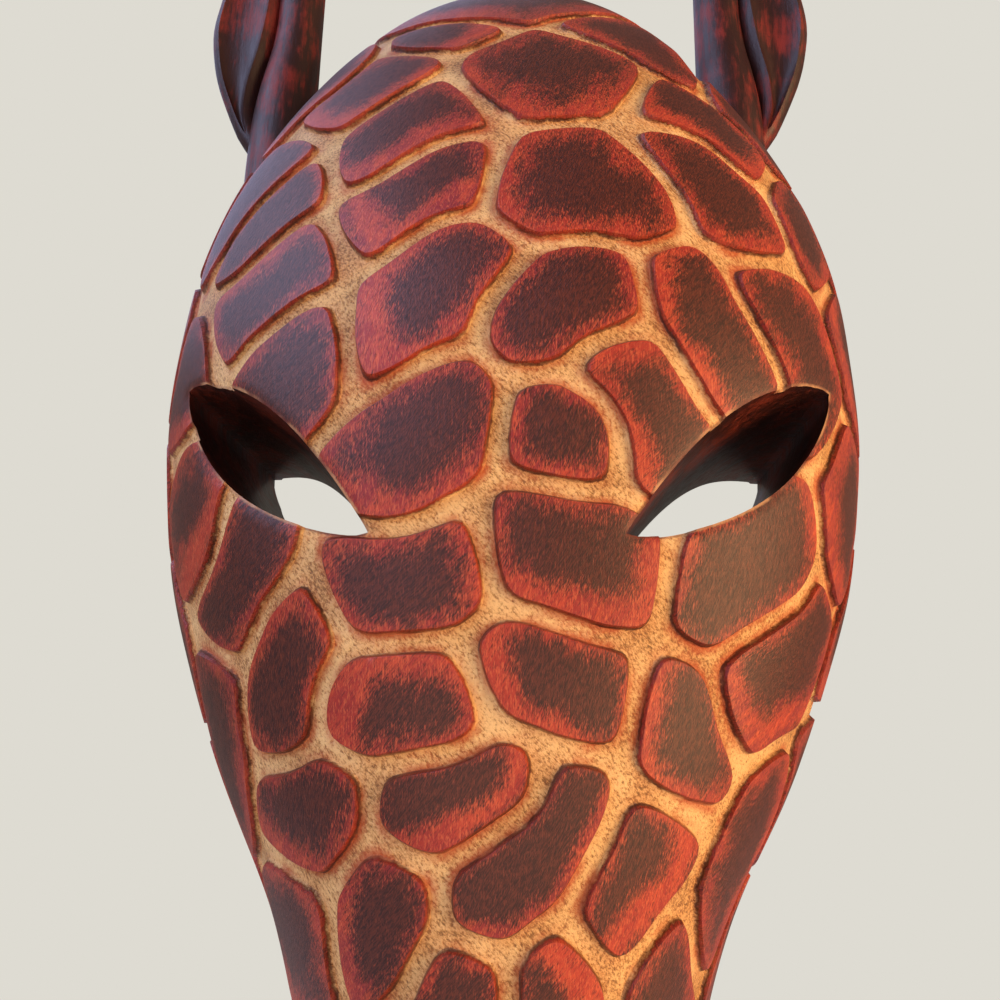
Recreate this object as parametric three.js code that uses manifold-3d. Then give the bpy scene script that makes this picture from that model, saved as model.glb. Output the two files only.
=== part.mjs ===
// A long giraffe's face carved from one block of wood, to hang on a wall.
// Millimetres. X is across, +Y goes into the wall, Z is up. The flat back is the plane y = 0.
// Heights are measured up from the chin, and the whole is set down at the end
// so that the mouth of the hanging hole is the origin.
import * as THREE from 'three';
import { mergeVertices } from 'three/addons/utils/BufferGeometryUtils.js';
import Module from 'manifold-3d';

// The head's outline
const CROWN_TOP = 317;
const CROWN_FROM = 208;
const CROWN_ROUNDNESS = 1.85;
const CHIN_ROUND = 20;
const CHIN_BLUNTNESS = 2.5;
const SECTION_FULLNESS = 2.35;
const HEAD_HALF_WIDTH = 64.3;
// [height, share of the half width] and [height, depth] down the face
const WIDTH_SHARES = [[0, 0.377], [28, 0.408], [58, 0.385], [85, 0.415], [110, 0.454], [135, 0.557],
  [160, 0.754], [185, 0.898], [205, 0.952], [226, 0.977], [245, 1], [265, 0.985], [317, 0.892]];
const DEPTHS = [[0, 41.5], [28, 47.5], [58, 48.5], [90, 53.4], [120, 59.4], [150, 64.4], [185, 67.4],
  [215, 68.4], [240, 67.4], [317, 65.4]];

// The hollow gouged in the back
const HOLLOW_LOW = 44;
const HOLLOW_TOP = 248;
const HOLLOW_LOW_ROUND = 26;
const HOLLOW_TOP_ROUND = 34;
const RIM_LEAST = 6;
const RIM_SHARE = 0.12;
const WALL_LEAST = 12;
const WALL_SHARE = 0.1;
const HOLLOW_SIDE_EASE = 1.4;

// The slanted eye slots, cut straight back through the head
const EYE_INNER = [16.5, 187.3];
const EYE_OUTER = [48.5, 213];
const EYE_UPPER_BULGE = 4.6;
const EYE_UPPER_SKEW = 1.25;
const EYE_LOWER_BULGE = 7;
const EYE_BLUNTNESS = 0.7;

// The hole that takes the wall peg
const HANG_UP = 270;
const HANG_RADIUS = 4;
const HANG_DEEP = 15;

// Ears and horns, a joined pair on each side at the back of the crown
const LIMBS_ASIDE = -2.8;
const HORN_INNER_EDGE = 0.625 * HEAD_HALF_WIDTH;
const HORN_FOOT = 244;
const HORN_TOP = 352;
const HORN_RADIUS = 4.8;
const HORN_KNOB_RADIUS = 6.6;
const HORN_KNOB_BELOW_TOP = 7.5;
const HORN_KNOB_LONG = 8.5;
const HORN_BACK = 11.5;
// [height, how much the root spreads outward]
const HORN_ROOT = [[244, 1.6], [270, 1.9], [284, 1.8], [290, 1.6], [297, 1.1], [305, 0.35], [312, 0]];
const EAR_FOOT = 252;
const EAR_TOP = 346;
const EAR_BACK = 11.5;
const EAR_HALF_THICK = 5.2;
const EAR_RIM = 1.2;
const EAR_CUP_DEEP = 3.2;
const EAR_CUP_FROM = 283;
const EAR_CUP_TO = 339;
// [height, distance out from the horn's inner edge]
const EAR_INNER = [[252, 3], [259, 4], [270, 6], [280, 9], [286, 11.4], [290, 12.2], [297, 11.6], [304, 10],
  [311, 8.9], [318, 8.3], [328, 8.7], [338, 10.9], [346, 15]];
const EAR_OUTER = [[252, 8], [259, 9.5], [270, 12], [279, 12.7], [284, 15.8], [288, 17.7], [293, 19.8],
  [297, 21.4], [302, 22.8], [310, 23.9], [318, 22.8], [328, 20.8], [338, 18.2], [346, 16]];

// Nose
const NOSTRIL = { across: 11.5, up: 30, turn: 24, lean: 0.3, wide: 4.2, tall: 6, deep: 4.5 };
const MOUTH = { up: 15, tall: 1.5, deep: 2.2, reach: 60, rise: 6, opens: 2 };

// The raised patches of the coat
const PATCH_RAISED = 1.1;
const PATCH_SUNK = 1.6;
const PATCH_EDGE_SLOPE = 0.5;
const HALF_CHANNEL = 1.1;
const CORNER_SHARPNESS = 0.9;
const PATCH_CORNERS = 9;
const PATCH_REACH = 30;
const PATCH_NEIGHBOURS = 80;
// a spine shorter than this is taken as one point
const SPINE_LEAST_HALF = 0.5;
const PATCH_LEAST_HALF = 8;
const WIDE_PATCH = 10.8;
const PATCHES_FROM = 44;
const PATCHES_TO = 311;
const BACK_EDGE_CLEAR = 4;
const EYE_CLEAR = 0.8;
// Each patch spreads from a spine: girth angle and height of one end, then of the other,
// and how far it is drawn in from its neighbours where it is smaller than they are
const PATCHES = [
  // brow, left of the midline and then right of it
  [-10, 195, -6, 203], [-13, 180, -5, 181], [-11, 214, -4, 225], [-15, 234, -6, 240],
  [-18, 246, -9, 256], [-28, 260, -19, 266], [-26, 209, -21, 212], [-37, 222, -24, 229],
  [-38, 236, -27, 243], [-46, 242, -34, 252], [-50, 209, -47, 217],
  [0, 263, 12, 266], [3, 238, 13, 239], [4, 217, 8, 219], [6, 201, 7, 201, 1], [12, 209, 18, 200, 1],
  [22, 221, 28, 210, 0.8], [25, 246, 33, 236], [27, 260, 36, 256], [36, 226, 44, 214],
  // cheeks and bridge of the nose
  [-46, 190, -48, 201], [-40, 178, -32, 184], [-29, 166, -24, 174], [-15, 166, -5, 166],
  [-31, 151, -24, 153], [-8, 152, 1, 156], [-17, 138, -13, 144], [-44, 130, -38, 139],
  [-4, 126, -4, 133], [-52, 157, -46, 168],
  [4, 184, 11, 182], [27, 180, 38, 186], [36, 170, 50, 178], [2, 170, 10, 167], [23, 165, 25, 160],
  [9, 154, 0, 144], [22, 150, 21, 141], [46, 142, 50, 151], [11, 126, 11, 134], [33, 127, 32, 135],
  [57, 190, 58, 203],
  // crown
  [-10, 291, 6, 295], [-14, 277, -12, 277, 3], [24, 279, 34, 273, 1], [-52, 266, -40, 272],
  [52, 262, 44, 270], [50, 240, 50, 246],
  // sides, back to the wall
  [-68, 220, -66, 234], [-62, 246, -60, 258], [-74, 193, -72, 207], [-66, 170, -70, 182],
  [-74, 140, -68, 156], [64, 216, 60, 228], [68, 248, 68, 260], [78, 200, 76, 214],
  [66, 174, 72, 186], [70, 150, 68, 162], [68, 126, 66, 138],
  // muzzle
  [-52, 108, -46, 116], [-14, 108, -10, 114], [24, 106, 28, 114], [74, 104, 68, 116], [-78, 112, -74, 122],
  [-68, 86, -64, 97], [-28, 88, -22, 96], [13, 88, 14, 94], [56, 86, 56, 97],
  [-48, 68, -44, 75], [-6, 67, -2, 73], [36, 66, 38, 73], [76, 66, 74, 78], [-80, 62, -78, 74],
  [-66, 50, -60, 55], [-24, 50, -18, 54], [14, 51, 18, 52], [56, 50, 60, 56],
];

const wasm = await Module();
wasm.setup();

const clamp = (value, low, high) => Math.min(high, Math.max(low, value));
const radians = (degrees) => degrees * Math.PI / 180;

// A smooth line through the rows of a table of heights
function along(table, up) {
  const height = clamp(up, table[0][0], table[table.length - 1][0]);
  let row = 0;
  while (row < table.length - 2 && height > table[row + 1][0]) row += 1;
  const [x0, y0] = table[row];
  const [x1, y1] = table[row + 1];
  const slopeAt = (k) => {
    const a = table[Math.max(k - 1, 0)];
    const b = table[Math.min(k + 1, table.length - 1)];
    return (b[1] - a[1]) / (b[0] - a[0]);
  };
  const step = x1 - x0;
  const s = (height - x0) / step;
  const s2 = s * s;
  const s3 = s2 * s;
  return (2 * s3 - 3 * s2 + 1) * y0 + (s3 - 2 * s2 + s) * step * slopeAt(row)
    + (3 * s2 - 2 * s3) * y1 + (s3 - s2) * step * slopeAt(row + 1);
}

// How far the section has drawn in towards the crown and the chin
function drawnIn(up) {
  const high = clamp((up - CROWN_FROM) / (CROWN_TOP - CROWN_FROM), 0, 1);
  const low = clamp((CHIN_ROUND - up) / CHIN_ROUND, 0, 1);
  const round = (share, power) => (1 - share ** power) ** (1 / power);
  return round(high, CROWN_ROUNDNESS) * round(low, CHIN_BLUNTNESS);
}

const halfWidth = (up) => HEAD_HALF_WIDTH * along(WIDTH_SHARES, up) * drawnIn(up);
const depth = (up) => along(DEPTHS, up) * drawnIn(up);

// A point of the face: the girth angle runs from one back edge (-90) over the nose (0) to the other (90)
function skin(angle, up) {
  const s = Math.sin(radians(angle));
  const c = Math.max(Math.cos(radians(angle)), 0);
  const power = 2 / SECTION_FULLNESS;
  const across = halfWidth(up) * Math.sign(s) * Math.abs(s) ** power;
  return new THREE.Vector3(across, -depth(up) * c ** power, up);
}

function tangents(angle, up) {
  const turn = 2;
  const rise = 1;
  const round = skin(angle + turn, up).sub(skin(angle - turn, up)).divideScalar(2 * turn);
  const rising = skin(angle, up + rise).sub(skin(angle, up - rise)).divideScalar(2 * rise);
  return { round, rising };
}

function raisedSkin(angle, up, height) {
  const { round, rising } = tangents(angle, up);
  const out = round.clone().cross(rising).normalize();
  return skin(angle, up).addScaledVector(out, height);
}

// A closed geometry from its points and faces, turned so that the faces point out
function closedGeometry(points, faces) {
  const geometry = new THREE.BufferGeometry().setFromPoints(points);
  let volume = 0;
  for (let k = 0; k < faces.length; k += 3) {
    const [a, b, c] = [points[faces[k]], points[faces[k + 1]], points[faces[k + 2]]];
    volume += a.dot(b.clone().cross(c));
  }
  geometry.setIndex(volume > 0 ? faces : faces.slice().reverse());
  return geometry;
}

// A closed body from a stack of rings with the same number of points, its ends capped with fans
function loft(rings) {
  const count = rings[0].length;
  const points = rings.flat();
  const faces = [];
  const middle = (ring) => ring.reduce((sum, p) => sum.add(p), new THREE.Vector3())
    .divideScalar(ring.length);
  for (let r = 0; r < rings.length - 1; r += 1) {
    for (let k = 0; k < count; k += 1) {
      const a = r * count + k;
      const b = r * count + (k + 1) % count;
      faces.push(a, b, b + count, a, b + count, a + count);
    }
  }
  points.push(middle(rings[0]), middle(rings[rings.length - 1]));
  const foot = points.length - 2;
  const head = points.length - 1;
  const last = (rings.length - 1) * count;
  for (let k = 0; k < count; k += 1) {
    faces.push(foot, (k + 1) % count, k);
    faces.push(head, last + k, last + (k + 1) % count);
  }
  return solid(closedGeometry(points, faces));
}

function solid(geometry) {
  geometry.deleteAttribute('normal');
  geometry.deleteAttribute('uv');
  const merged = mergeVertices(geometry, 1e-4);
  return new wasm.Manifold(new wasm.Mesh({
    numProp: 3,
    vertProperties: new Float32Array(merged.attributes.position.array),
    triVerts: new Uint32Array(merged.index.array),
  }));
}

// The head as one full body with a flat back
function headBody() {
  const heights = [];
  const chinSteps = 3;
  const faceSteps = 14;
  const crownSteps = 7;
  const least = 0.12;
  for (let k = 0; k < chinSteps; k += 1) {
    heights.push(CHIN_ROUND * (1 - Math.cos((least + (1 - least) * k / chinSteps) * Math.PI / 2)));
  }
  for (let k = 0; k < faceSteps; k += 1) {
    heights.push(CHIN_ROUND + (CROWN_FROM - CHIN_ROUND) * k / faceSteps);
  }
  for (let k = 0; k <= crownSteps; k += 1) {
    const share = Math.sin((1 - least) * k / crownSteps * Math.PI / 2);
    heights.push(CROWN_FROM + (CROWN_TOP - CROWN_FROM) * share);
  }
  const girthSteps = 18;
  const rings = heights.map((up) => {
    const ring = [];
    for (let k = 0; k <= girthSteps; k += 1) ring.push(skin(-90 + 180 * k / girthSteps, up));
    return ring;
  });
  return loft(rings);
}

// The trough in the back, deepest along the middle and rising to a wide rim
function hollowBody() {
  const steps = 14;
  const sideSteps = 10;
  const behind = 3;
  const rings = [];
  for (let k = 0; k <= steps; k += 1) {
    const up = HOLLOW_LOW + (HOLLOW_TOP - HOLLOW_LOW) * (1 - Math.cos(Math.PI * k / steps)) / 2;
    const high = clamp((up - HOLLOW_TOP + HOLLOW_TOP_ROUND) / HOLLOW_TOP_ROUND, 0, 1);
    const low = clamp((HOLLOW_LOW + HOLLOW_LOW_ROUND - up) / HOLLOW_LOW_ROUND, 0, 1);
    const end = Math.max(Math.sqrt(1 - high * high) * Math.sqrt(1 - low * low), 0.08);
    const half = (halfWidth(up) * (1 - RIM_SHARE) - RIM_LEAST) * end;
    const deep = (depth(up) * (1 - WALL_SHARE) - WALL_LEAST) * end;
    const ring = [];
    for (let n = 0; n <= sideSteps; n += 1) {
      const s = -1 + 2 * n / sideSteps;
      ring.push(new THREE.Vector3(half * s, -deep * (1 - s * s) ** HOLLOW_SIDE_EASE, up));
    }
    ring.push(new THREE.Vector3(half, behind, up), new THREE.Vector3(-half, behind, up));
    rings.push(ring);
  }
  return loft(rings);
}

// How far the lids bulge from the straight line between an eye slot's corners
const lowerLid = (share) => EYE_LOWER_BULGE * Math.sin(Math.PI * share) ** EYE_BLUNTNESS;
const upperLid = (share) => (
  EYE_UPPER_BULGE * Math.max(Math.sin(Math.PI * share ** EYE_UPPER_SKEW), 0) ** EYE_BLUNTNESS
);

// Eye slot outline, corner to corner along the lower lid and back along the upper
function eyeOutline(side) {
  const steps = 9;
  const run = [EYE_OUTER[0] - EYE_INNER[0], EYE_OUTER[1] - EYE_INNER[1]];
  const long = Math.hypot(...run);
  const at = (share, bulge) => [
    side * (EYE_INNER[0] + run[0] * share - run[1] / long * bulge),
    EYE_INNER[1] + run[1] * share + run[0] / long * bulge,
  ];
  const outline = [];
  for (let k = 0; k < steps; k += 1) outline.push(at(k / steps, -lowerLid(k / steps)));
  for (let k = steps; k > 0; k -= 1) outline.push(at(k / steps, upperLid(k / steps)));
  return outline;
}

function eyeSlot(side) {
  const behind = 5;
  const long = 95;
  const shape = new THREE.Shape(eyeOutline(side).map(([x, z]) => new THREE.Vector2(x, z)));
  const geometry = new THREE.ExtrudeGeometry(shape, { depth: long, bevelEnabled: false });
  geometry.rotateX(Math.PI / 2);
  geometry.translate(0, behind, 0);
  return solid(geometry);
}

function hangingHole() {
  const behind = 2;
  const geometry = new THREE.CylinderGeometry(HANG_RADIUS, HANG_RADIUS, HANG_DEEP + behind, 20);
  geometry.translate(0, (behind - HANG_DEEP) / 2, HANG_UP);
  return solid(geometry);
}

// A standing limb of stacked rings: ringAt gives a ring's middle, half width and half thickness
function limb(side, foot, top, ringAt, steps, sides) {
  const rings = [];
  for (let k = 0; k <= steps; k += 1) {
    const up = foot + (top - foot) * (1 - (1 - k / steps) ** 1.5);
    const { out, back, wide, thick } = ringAt(up);
    const ring = [];
    for (let n = 0; n < sides; n += 1) {
      const turn = 2 * Math.PI * n / sides;
      const across = LIMBS_ASIDE + side * (HORN_INNER_EDGE + out + wide * Math.cos(turn));
      ring.push(new THREE.Vector3(across, -back + thick * Math.sin(turn), up));
    }
    rings.push(ring);
  }
  return loft(rings);
}

// A leaf-shaped ear, hollowed to a shallow cup that faces forward
function ear(side) {
  const middle = (up) => (along(EAR_INNER, up) + along(EAR_OUTER, up)) / 2;
  const half = (up) => Math.max((along(EAR_OUTER, up) - along(EAR_INNER, up)) / 2, 0.5);
  const widest = 7.5;
  const thickness = (up) => EAR_HALF_THICK * (0.35 + 0.65 * Math.min(half(up) / widest, 1));
  const blade = limb(side, EAR_FOOT, EAR_TOP, (up) => (
    { out: middle(up), back: EAR_BACK, wide: half(up), thick: thickness(up) }
  ), 10, 9);
  const cup = limb(side, EAR_CUP_FROM, EAR_CUP_TO, (up) => {
    const share = (up - EAR_CUP_FROM) / (EAR_CUP_TO - EAR_CUP_FROM);
    const open = Math.max(Math.sin(Math.PI * share), 0.02) ** 0.5;
    return {
      out: middle(up) + EAR_RIM / 3,
      back: EAR_BACK + thickness(up) + 0.5,
      wide: Math.max(half(up) - EAR_RIM, 0.4) * open,
      thick: EAR_CUP_DEEP * open,
    };
  }, 7, 8);
  return blade.subtract(cup);
}

function horn(side) {
  return limb(side, HORN_FOOT, HORN_TOP, (up) => {
    const root = along(HORN_ROOT, up);
    const overKnob = up - HORN_TOP + HORN_KNOB_BELOW_TOP;
    const knob = Math.exp(-((overKnob / HORN_KNOB_LONG) ** 2));
    const closing = clamp(overKnob / HORN_KNOB_BELOW_TOP, 0, 1);
    const end = Math.sqrt(Math.max(1 - closing ** 2, 0.03));
    const radius = (HORN_RADIUS + root + (HORN_KNOB_RADIUS - HORN_RADIUS) * knob) * end;
    return { out: HORN_RADIUS + root, back: HORN_BACK, wide: radius, thick: radius * 1.05 };
  }, 12, 9);
}

// Nostril pits and the line of the mouth, cut into the nose
function nostril(side) {
  const geometry = new THREE.SphereGeometry(1, 10, 6);
  geometry.scale(NOSTRIL.wide, NOSTRIL.deep, NOSTRIL.tall);
  geometry.rotateY(side * NOSTRIL.lean);
  geometry.translate(side * NOSTRIL.across, skin(side * NOSTRIL.turn, NOSTRIL.up).y, NOSTRIL.up);
  return solid(geometry);
}

function mouthLine() {
  const steps = 14;
  const rings = [];
  for (let k = 0; k <= steps; k += 1) {
    const share = -1 + 2 * k / steps;
    const angle = MOUTH.reach * share;
    const up = MOUTH.up + MOUTH.rise * share * share;
    rings.push([
      raisedSkin(angle, up - MOUTH.tall, MOUTH.opens),
      raisedSkin(angle, up + MOUTH.tall, MOUTH.opens),
      raisedSkin(angle, up, -MOUTH.deep),
    ]);
  }
  return loft(rings);
}

// How far a point of the face lies outside an eye slot
function eyeGap(point) {
  const run = [EYE_OUTER[0] - EYE_INNER[0], EYE_OUTER[1] - EYE_INNER[1]];
  const long = Math.hypot(...run);
  const from = [Math.abs(point.x) - EYE_INNER[0], point.z - EYE_INNER[1]];
  const share = (from[0] * run[0] + from[1] * run[1]) / long / long;
  const rise = (from[1] * run[0] - from[0] * run[1]) / long;
  if (share <= 0) return Math.hypot(...from);
  if (share >= 1) return Math.hypot(from[0] - run[0], from[1] - run[1]);
  return Math.max(rise - upperLid(share), -lowerLid(share) - rise);
}

// How far a point lies inside a patch: half of what it is nearer to its spine than to the others
function insidePatch(point, place, others) {
  const reach = (other) => {
    other.spine.closestPointToPoint(point, true, nearest);
    return nearest.distanceTo(point) + other.drawn;
  };
  const crowding = others.reduce((sum, other) => sum + Math.exp(-CORNER_SHARPNESS * reach(other)), 0);
  return (-Math.log(crowding) / CORNER_SHARPNESS - reach(place)) / 2;
}

function patch(place, places) {
  const { round, rising } = tangents(place.angle, place.up);
  const roundStep = round.length();
  const risingStep = rising.length();
  const others = places.filter((p) => p !== place && p.middle.distanceTo(place.middle) < PATCH_NEIGHBOURS);
  const spine = new THREE.Vector2(place.turn * roundStep, place.rise * risingStep);
  const half = spine.length() / 2;
  const lengthwise = half > SPINE_LEAST_HALF ? spine.clone().normalize() : new THREE.Vector2(1, 0);
  const crosswise = new THREE.Vector2(-lengthwise.y, lengthwise.x);
  const stepAt = (way, reach) => [
    place.angle + reach * way.x / roundStep,
    place.up + reach * way.y / risingStep,
  ];
  const holds = ([angle, up]) => {
    if (up < PATCHES_FROM || up > PATCHES_TO || Math.abs(angle) > 88) return false;
    const point = skin(angle, up);
    return point.y < -BACK_EDGE_CLEAR && eyeGap(point) > EYE_CLEAR
      && insidePatch(point, place, others) > HALF_CHANNEL;
  };
  const reaches = [];
  for (let k = 0; k < PATCH_CORNERS; k += 1) {
    const turn = 2 * Math.PI * (k + 0.5) / PATCH_CORNERS;
    const way = lengthwise.clone().multiplyScalar((half + PATCH_LEAST_HALF) * Math.cos(turn))
      .addScaledVector(crosswise, PATCH_LEAST_HALF * Math.sin(turn)).normalize();
    let reach = 0.5;
    while (reach < PATCH_REACH && holds(stepAt(way, reach + 0.25))) reach += 0.25;
    reaches.push([way, reach]);
  }
  const ring = (share, grow, height) => reaches.map(([way, reach]) => {
    const [angle, up] = stepAt(way, reach * share + grow);
    return raisedSkin(clamp(angle, -89.5, 89.5), up, height);
  });
  const wide = reaches.reduce((sum, [, reach]) => sum + reach, 0) / PATCH_CORNERS > WIDE_PATCH;
  const rings = [ring(1, PATCH_EDGE_SLOPE, -PATCH_SUNK), ring(1, 0, PATCH_RAISED)];
  if (wide) rings.push(ring(0.55, 0, PATCH_RAISED));
  const middle = raisedSkin(place.angle, place.up, PATCH_RAISED);
  const under = raisedSkin(place.angle, place.up, -3 * PATCH_SUNK);
  const points = [...rings.flat(), middle, under];
  const count = PATCH_CORNERS;
  const faces = [];
  for (let k = 0; k < count; k += 1) {
    const next = (k + 1) % count;
    for (let r = 0; r < rings.length - 1; r += 1) {
      const a = r * count + k;
      const b = r * count + next;
      faces.push(a, b, b + count, a, b + count, a + count);
    }
    const last = (rings.length - 1) * count;
    faces.push(points.length - 2, last + k, last + next);
    faces.push(points.length - 1, next, k);
  }
  return solid(closedGeometry(points, faces));
}

const places = PATCHES.map(([angle0, up0, angle1, up1, drawn = 0]) => ({
  angle: (angle0 + angle1) / 2,
  up: (up0 + up1) / 2,
  turn: angle1 - angle0,
  rise: up1 - up0,
  drawn,
  middle: skin((angle0 + angle1) / 2, (up0 + up1) / 2),
  spine: new THREE.Line3(skin(angle0, up0), skin(angle1, up1)),
}));
const nearest = new THREE.Vector3();

let carving = headBody();
places.forEach((place) => {
  carving = carving.add(patch(place, places));
});
[-1, 1].forEach((side) => {
  carving = carving.add(horn(side)).add(ear(side));
});
carving = carving.subtract(hollowBody()).subtract(hangingHole()).subtract(mouthLine());
[-1, 1].forEach((side) => {
  carving = carving.subtract(eyeSlot(side)).subtract(nostril(side));
});

function meshFrom(name, body, colour) {
  const out = body.getMesh();
  const positions = [];
  for (let k = 0; k < out.vertProperties.length; k += out.numProp) {
    positions.push(out.vertProperties[k], out.vertProperties[k + 1], out.vertProperties[k + 2] - HANG_UP);
  }
  let geometry = new THREE.BufferGeometry();
  geometry.setAttribute('position', new THREE.Float32BufferAttribute(positions, 3));
  geometry.setIndex(Array.from(out.triVerts));
  geometry = mergeVertices(geometry, 1e-4);
  geometry.computeVertexNormals();
  const mesh = new THREE.Mesh(geometry, new THREE.MeshStandardMaterial({ color: colour, roughness: 0.55 }));
  mesh.name = name;
  return mesh;
}

const group = new THREE.Group();
group.name = 'giraffe_wall_mask';
group.add(meshFrom('giraffe_mask', carving, '#a65a3a'));

export default group;
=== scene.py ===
import math

import bmesh
import bpy
import numpy as np
from mathutils import Matrix, Vector


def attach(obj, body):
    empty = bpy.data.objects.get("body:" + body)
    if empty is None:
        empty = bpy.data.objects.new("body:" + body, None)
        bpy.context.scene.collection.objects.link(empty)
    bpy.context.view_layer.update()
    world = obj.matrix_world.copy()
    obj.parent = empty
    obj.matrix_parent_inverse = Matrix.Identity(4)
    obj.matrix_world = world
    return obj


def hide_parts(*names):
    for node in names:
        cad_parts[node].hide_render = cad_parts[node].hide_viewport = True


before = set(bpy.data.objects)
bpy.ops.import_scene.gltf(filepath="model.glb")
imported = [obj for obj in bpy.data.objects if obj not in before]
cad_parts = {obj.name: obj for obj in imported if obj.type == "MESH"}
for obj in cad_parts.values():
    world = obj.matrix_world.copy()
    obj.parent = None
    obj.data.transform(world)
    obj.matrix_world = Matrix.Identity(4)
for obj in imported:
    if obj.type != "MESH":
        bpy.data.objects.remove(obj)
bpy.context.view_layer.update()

# A long giraffe's face carved from one block of wood, painted, lacquered and hung on a wall.
# Shapes are worked out in millimetres with heights measured up from the chin, as the carver would,
# and set down in metres with the mouth of the hanging hole at the origin.
MM = 0.001

# The head's outline: height, then half width or depth
CROWN_TOP = 317
CROWN_FROM = 208
CROWN_ROUNDNESS = 1.85
CHIN_ROUND = 20
CHIN_BLUNTNESS = 2.5
CHIN_LIFT = 0.4
SECTION_FULLNESS = 2.35
HEAD_HALF_WIDTH = 64.3
# height, then share of the half width, and height, then depth
WIDTH_SHARES = [(0, 0.377), (28, 0.408), (58, 0.385), (85, 0.415), (110, 0.454), (135, 0.557),
                (160, 0.754), (185, 0.898), (205, 0.952), (226, 0.977), (245, 1), (265, 0.985),
                (317, 0.892)]
DEPTHS = [(0, 41.5), (28, 47.5), (58, 48.5), (90, 53.4), (120, 59.4), (150, 64.4), (185, 67.4),
          (215, 68.4), (240, 67.4), (317, 65.4)]
WIDEST = 62.5
DEEPEST = 69.35

# The hollow gouged in the back
HOLLOW_LOW = 44
HOLLOW_TOP = 248
HOLLOW_LOW_ROUND = 26
HOLLOW_TOP_ROUND = 34
RIM_LEAST = 6
RIM_SHARE = 0.12
WALL_LEAST = 12
WALL_SHARE = 0.1
HOLLOW_SIDE_EASE = 1.4
FLUTE_DEEP = 0.35
FLUTE_TURN, FLUTE_SLANT = 0.42, 5
PAST_THE_BACK = 3

# The slanted eye slots
EYE_INNER = (16.5, 187.3)
EYE_OUTER = (48.5, 213)
EYE_UPPER_BULGE = 4.6
EYE_UPPER_SKEW = 1.25
EYE_LOWER_BULGE = 7
EYE_BLUNTNESS = 0.7
EYE_RUN = np.subtract(EYE_OUTER, EYE_INNER).astype(float)
EYE_LONG = np.hypot(*EYE_RUN)
EYE_STEPS = 40
SLOT_FROM, SLOT_LONG = -90, 95
LIP_WIDE = 0.9
LIP_ROUNDED = 0.4

# The hole for the wall peg
HANG_UP = 270
HANG_RADIUS = 4
HANG_DEEP = 15
HANG_PAST_BACK = 2

# Ears and horns, a joined pair on each side, set a little to one side as the maker left them
LIMBS_ASIDE = -2.8
HORN_INNER_EDGE = 40.19
HORN_FOOT = 244
HORN_TOP = 351.9
HORN_RADIUS = 4.8
HORN_KNOB_RADIUS = 6.6
HORN_KNOB_UP = 344.5
HORN_KNOB_LONG = 8.5
HORN_BACK = 11.5
HORN_DEEPER = 1.05
# height, then how much the root spreads outward
HORN_ROOT = [(244, 1.6), (270, 1.9), (284, 1.8), (290, 1.6), (297, 1.1), (305, 0.35), (312, 0)]
EAR_FOOT = 252
EAR_TOP = 346
EAR_BACK = 11.5
EAR_HALF_THICK = 5.2
EAR_WIDEST = 7.5
EAR_RIM = 1.2
EAR_CUP_DEEP = 3.2
EAR_CUP_FROM = 283
EAR_CUP_TO = 339
EAR_CUP_SET_BACK = 0.5
EAR_TIP_LONG = 3
# height, then distance out from the horn's inner edge
EAR_INNER = [(252, 3), (259, 4), (270, 6), (280, 9), (286, 11.4), (290, 12.2), (297, 11.6), (304, 10),
             (311, 8.9), (318, 8.3), (328, 8.7), (338, 10.9), (346, 15)]
EAR_OUTER = [(252, 8), (259, 9.5), (270, 12), (279, 12.7), (284, 15.8), (288, 17.7), (293, 19.8),
             (297, 21.3), (302, 22.6), (310, 23.6), (318, 22.6), (328, 20.8), (338, 18.2), (346, 16)]

# Nostrils and mouth
NOSTRIL_ACROSS, NOSTRIL_UP, NOSTRIL_TURN, NOSTRIL_LEAN = 11.5, 30, 24, 0.3
NOSTRIL_WIDE, NOSTRIL_TALL, NOSTRIL_DEEP = 4.2, 6, 4.5
MOUTH_UP, MOUTH_TALL, MOUTH_DEEP, MOUTH_REACH, MOUTH_RISE = 15, 1.5, 2.2, 60, 6
MOUTH_PROUD = 2

# The raised patches of the coat
PATCH_RAISED = 1.0
HALF_CHANNEL = 1.3
PATCH_SHOULDER = 0.22
PATCH_FOOT_SHARE = 0.85
SWELLS = 0.18
HEAD_COLUMNS, HEAD_ROWS = 196, 334
CORNER_SHARPNESS = 0.9
PATCHES_FROM = 44
PATCHES_FROM_WAVE = 1.5
BACK_EDGE_CLEAR = 4
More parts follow.
